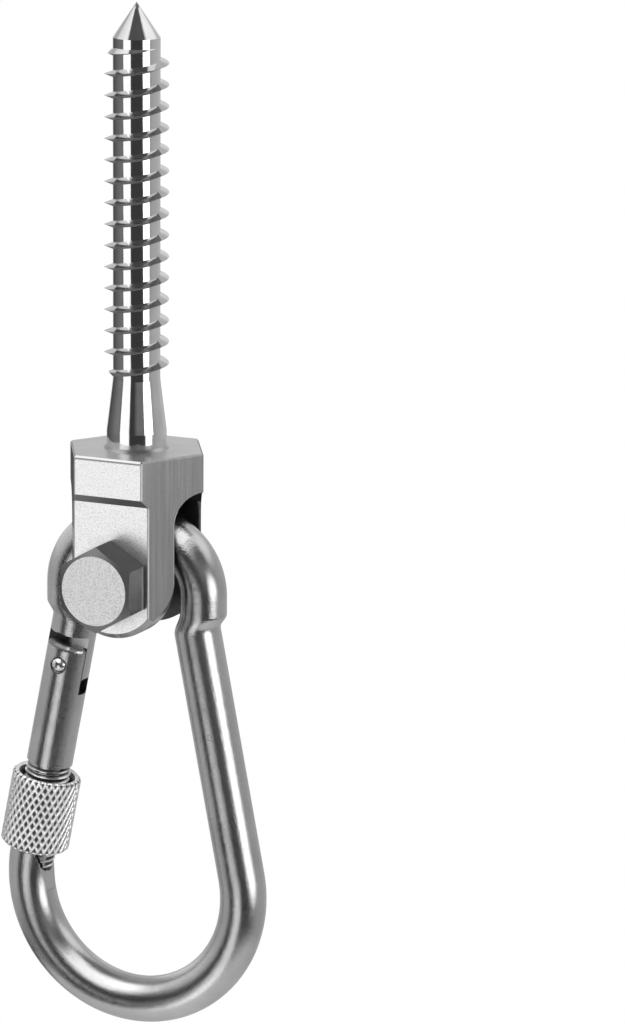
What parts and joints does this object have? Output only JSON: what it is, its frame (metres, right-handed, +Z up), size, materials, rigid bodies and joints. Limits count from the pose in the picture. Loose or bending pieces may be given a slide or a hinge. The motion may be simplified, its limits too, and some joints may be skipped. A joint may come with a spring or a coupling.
{
  "type": "hammock hook",
  "caption": "Steel hanging hook: a wood screw with a slotted hexagon clevis, a cross bolt and a pear-shaped spring hook whose hinged gate carries a knurled screw lock.",
  "frame": {"origin": "centre of the clevis block's flat top, the face that seats against the beam", "axes": "+Z runs up the screw into the beam, the cross bolt lies along Y with its head at -Y, and the hook hangs in the XZ plane with its gate at -X"},
  "size_m": [0.0502, 0.0329, 0.1784],
  "materials": {
    "clevis_steel": "stainless steel, polished on the screw and fine-blasted on the block",
    "bolt_steel": "plain stainless steel",
    "ring_plastic": "moulded plastic",
    "hook_steel": "tumbled satin stainless steel",
    "gate_steel": "tumbled satin stainless steel",
    "rivet_steel": "bright steel",
    "spring_steel": "drawn spring steel",
    "knurl_steel": "knurled stainless steel"
  },
  "bodies": {
    "clevis": {"clevis_screw": "clevis_steel", "clevis_bolt": "bolt_steel", "lock_nut": "bolt_steel", "lock_ring": "ring_plastic"},
    "hook": {"hook_body": "hook_steel"},
    "gate": {"gate": "gate_steel", "hinge_rivet": "rivet_steel", "gate_spring": "spring_steel"},
    "plunger": {"gate_plunger": "rivet_steel"},
    "screw_lock": {"knurled_nut": "knurl_steel"}
  },
  "joints": [
    {"name": "hook_swing", "type": "hinge", "parent": "clevis", "child": "hook", "pos_m": [0, 0, -0.02185], "axis": [0, -1, 0], "range_deg": [-60, 60]},
    {"name": "gate_hinge", "type": "hinge", "parent": "hook", "child": "gate", "pos_m": [-0.01322, 0, -0.03895], "axis": [0, -1, 0], "range_deg": [0, 22], "stiffness_Nm_per_rad": 0.4, "springref_deg": -17.19},
    {"name": "plunger_slide", "type": "slide", "parent": "gate", "child": "plunger", "axis": [-0.1951, 0, -0.9808], "range_m": [0, 0.0007], "deforming": ["gate_spring"]},
    {"name": "lock_slide", "type": "slide", "parent": "gate", "child": "screw_lock", "axis": [0.1951, 0, 0.9808], "range_m": [0, 0.0075]}
  ],
  "couplings": [
    {"joint": "plunger_slide", "follows": "gate_hinge", "m_per_rad": 0.00166}
  ]
}
